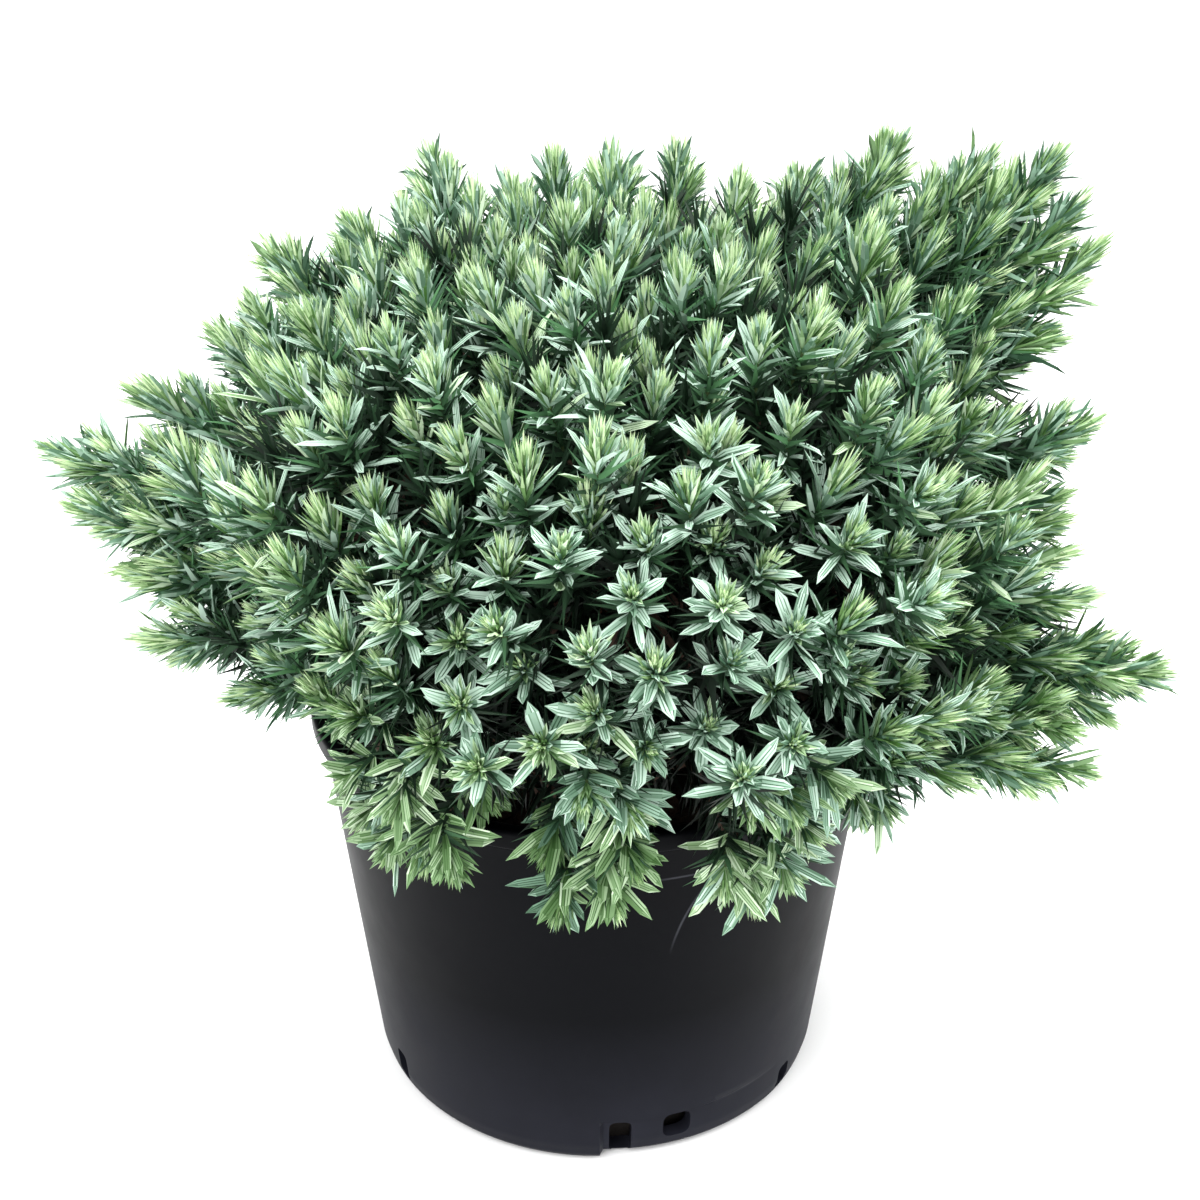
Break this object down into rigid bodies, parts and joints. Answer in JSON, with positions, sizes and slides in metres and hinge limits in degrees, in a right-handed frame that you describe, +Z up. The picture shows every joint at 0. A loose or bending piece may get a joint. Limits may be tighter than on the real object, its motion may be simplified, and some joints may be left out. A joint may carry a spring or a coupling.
{
  "type": "potted blue star juniper",
  "caption": "Dwarf juniper shrub with a dense mounded crown of short blue-green needle shoots, standing in a tapered round nursery pot filled with bark mix.",
  "frame": {"origin": "middle of the pot's flat underside", "axes": "+Z up the pot's axis; -Y is the front of the plant, as seen in the picture; +X is the viewer's right, along which the crown is widest"},
  "size_m": [0.4216, 0.3304, 0.3524],
  "materials": {
    "pot": "satin moulded polyethylene, near black",
    "potting_mix": "damp composted bark mix",
    "bark": "thin flaking reddish brown bark",
    "foliage": "matt, slightly waxy blue-green needles",
    "blades": "waxy blue-green grown needles with pale bands",
    "tufts": "soft yellow-green young needles",
    "old_needles": "dark green older needles"
  },
  "bodies": {
    "root": {"pot": "pot", "potting_mix": "potting_mix", "trunk": "bark", "bough_skirt_left": "bark", "mass_skirt_left": "foliage", "bough_skirt_left_front": "bark", "mass_skirt_left_front": "foliage", "bough_skirt_front_left": "bark", "mass_skirt_front_left": "foliage", "bough_skirt_front_right": "bark", "mass_skirt_front_right": "foliage", "bough_skirt_right_front": "bark", "mass_skirt_right_front": "foliage", "bough_skirt_right": "bark", "mass_skirt_right": "foliage", "bough_skirt_back_right": "bark", "mass_skirt_back_right": "foliage", "bough_skirt_back": "bark", "mass_skirt_back": "foliage", "bough_skirt_back_left": "bark", "mass_skirt_back_left": "foliage", "bough_shoulder_left": "bark", "mass_shoulder_left": "foliage", "bough_shoulder_front_left": "bark", "mass_shoulder_front_left": "foliage", "bough_shoulder_front": "bark", "mass_shoulder_front": "foliage", "bough_shoulder_front_right": "bark", "mass_shoulder_front_right": "foliage", "bough_shoulder_right": "bark", "mass_shoulder_right": "foliage", "bough_shoulder_back_right": "bark", "mass_shoulder_back_right": "foliage", "bough_shoulder_back_left": "bark", "mass_shoulder_back_left": "foliage", "mass_top": "foliage"}
  },
  "joints": []
}
